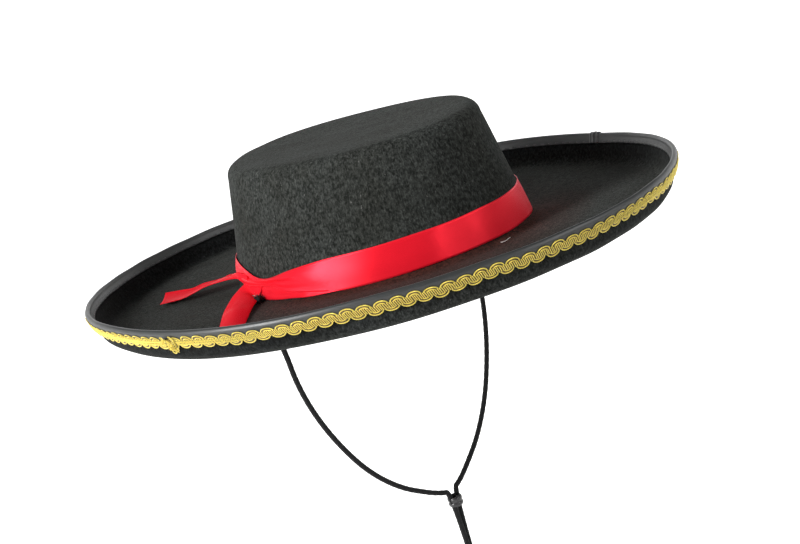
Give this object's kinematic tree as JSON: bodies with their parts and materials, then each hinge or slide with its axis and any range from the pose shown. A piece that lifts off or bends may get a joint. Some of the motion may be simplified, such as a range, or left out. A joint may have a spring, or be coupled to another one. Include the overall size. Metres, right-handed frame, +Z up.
{
  "type": "flat-brimmed costume hat",
  "caption": "Flat-topped oval felt hat with a wide brim turned up at its edge, gold braid, red ribbon band with a knot and two ends, and a chin cord with a sliding bead.",
  "frame": {"origin": "centre of the head opening, in the plane of the brim's underside", "axes": "+Z up through the crown, -Y towards the wearer's front, -X towards the wearer's right"},
  "size_m": [0.3749, 0.4157, 0.3363],
  "materials": {
    "black_felt": "pressed needle felt, faint fuzz",
    "binding_tape": "smooth woven tape, soft sheen",
    "brim_wire": "drawn wire",
    "black_thread": "sewing thread",
    "gold_braid": "metallised gimp thread",
    "red_satin": "satin ribbon, bright sheen",
    "sweatband_tape": "ribbed cotton tape",
    "black_cord": "braided cord",
    "slider_plastic": "glossy"
  },
  "bodies": {
    "hat": {"crown": "black_felt", "brim": "black_felt", "edge_binding": "binding_tape", "binding_join": "binding_tape", "brim_wire": "brim_wire", "binding_stitching": "black_thread", "gold_braid": "gold_braid", "braid_join": "gold_braid", "ribbon_band": "red_satin", "ribbon_knot": "red_satin", "upper_ribbon_tail": "red_satin", "lower_ribbon_tail": "red_satin", "sweatband": "sweatband_tape", "sweatband_stitching": "black_thread", "right_anchor_knot": "black_cord", "left_anchor_knot": "black_cord"},
    "chin_cord": {"right_cord_strand": "black_cord", "left_cord_strand": "black_cord", "cord_end_knot": "black_cord"},
    "slider": {"cord_slider": "slider_plastic"}
  },
  "joints": [
    {"name": "cord_swing", "type": "hinge", "parent": "hat", "child": "chin_cord", "pos_m": [0, 0.015, -0.0025], "axis": [1, 0, 0], "range_deg": [-70, 70]},
    {"name": "slider_travel", "type": "slide", "parent": "chin_cord", "child": "slider", "axis": [0, 0, -1], "range_m": [0, 0.055]}
  ]
}
